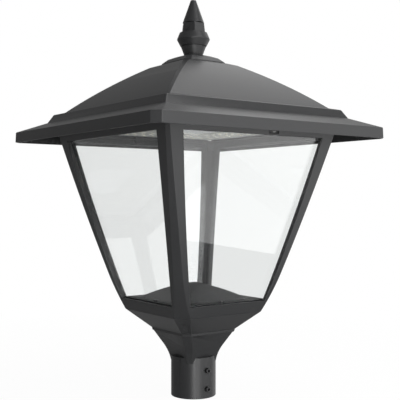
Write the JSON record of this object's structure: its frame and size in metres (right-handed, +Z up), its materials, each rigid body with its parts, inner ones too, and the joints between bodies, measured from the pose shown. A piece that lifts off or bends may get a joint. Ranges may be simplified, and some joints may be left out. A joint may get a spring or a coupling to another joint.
{
  "type": "post-top lantern light",
  "caption": "Square tapering post-top area lantern with clear panes, hinged curved pyramid roof, spired finial, ceiling light board and round socket collar for a pole tenon.",
  "frame": {"origin": "centre of the socket collar's open foot, where the pole tenon enters", "axes": "+Z up along the pole and the lantern's axis; -Y is the side with the latch, +Y the side with the roof hinges; each flat side faces X or Y"},
  "size_m": [0.53, 0.53, 0.7767],
  "materials": {
    "powder_coat": "fine satin graphite powder coat",
    "cover_coat": "satin graphite powder coat on sheet",
    "clear_pane": "clear polished sheet with bright edges",
    "rubber_seal": "matt black moulded rubber",
    "black_steel": "black oxide finish",
    "stainless": "plain stainless",
    "black_nylon": "moulded, fine grain",
    "bare_aluminium": "plain rolled sheet",
    "white_board": "white solder mask",
    "phosphor": "yellow phosphor under clear resin",
    "driver_case": "plain extruded case",
    "blue_case": "moulded",
    "cream_plastic": "moulded"
  },
  "bodies": {
    "lantern": {"pole_fitter": "powder_coat", "lantern_frame": "powder_coat", "frame_bolts": "stainless", "pane_front": "clear_pane", "pane_right": "clear_pane", "pane_back": "clear_pane", "pane_left": "clear_pane", "pane_gaskets": "rubber_seal", "pane_clamps": "powder_coat", "clamp_screws": "black_steel", "floor_cover": "cover_coat", "floor_cover_screws": "black_steel", "cable_gland": "black_nylon", "gland_nut": "black_nylon", "roof_gasket": "rubber_seal", "lanyard_anchor": "powder_coat", "lanyard_screw": "stainless", "hinge_brackets": "powder_coat", "hinge_bracket_screws": "stainless", "hinge_pins": "stainless", "latch_bush": "black_nylon"},
    "roof": {"roof_shell": "powder_coat", "roof_cap": "powder_coat", "finial": "powder_coat", "finial_stud": "stainless", "finial_nut": "stainless", "roof_hinge_arms": "powder_coat", "hinge_arm_screws": "stainless", "latch_strike": "stainless", "strike_screws": "stainless", "gear_plate": "bare_aluminium", "gear_plate_screws": "stainless", "led_board": "white_board", "led_chips": "phosphor", "board_screws": "stainless", "driver": "driver_case", "driver_screws": "stainless", "surge_protector": "blue_case", "terminal_block": "cream_plastic"},
    "latch": {"latch_spindle": "stainless", "latch_hook": "stainless", "latch_nut": "stainless"},
    "set_screw_front_low_body": {"set_screw_front_low": "black_steel"},
    "set_screw_front_high_body": {"set_screw_front_high": "black_steel"},
    "set_screw_back_low_body": {"set_screw_back_low": "black_steel"},
    "set_screw_back_high_body": {"set_screw_back_high": "black_steel"}
  },
  "joints": [
    {"name": "roof_hinge", "type": "hinge", "parent": "lantern", "child": "roof", "pos_m": [0, 0.206, 0.516], "axis": [-1, 0, 0], "range_deg": [0, 85]},
    {"name": "latch_turn", "type": "hinge", "parent": "lantern", "child": "latch", "pos_m": [0.0375, -0.185, 0.5085], "axis": [0, 1, 0], "range_deg": [0, 75]},
    {"name": "set_screw_front_low_drive", "type": "slide", "parent": "lantern", "child": "set_screw_front_low_body", "axis": [0, 1, 0], "range_m": [0, 0.006]},
    {"name": "set_screw_front_high_drive", "type": "slide", "parent": "lantern", "child": "set_screw_front_high_body", "axis": [0, 1, 0], "range_m": [0, 0.006]},
    {"name": "set_screw_back_low_drive", "type": "slide", "parent": "lantern", "child": "set_screw_back_low_body", "axis": [0, -1, 0], "range_m": [0, 0.006]},
    {"name": "set_screw_back_high_drive", "type": "slide", "parent": "lantern", "child": "set_screw_back_high_body", "axis": [0, -1, 0], "range_m": [0, 0.006]}
  ]
}
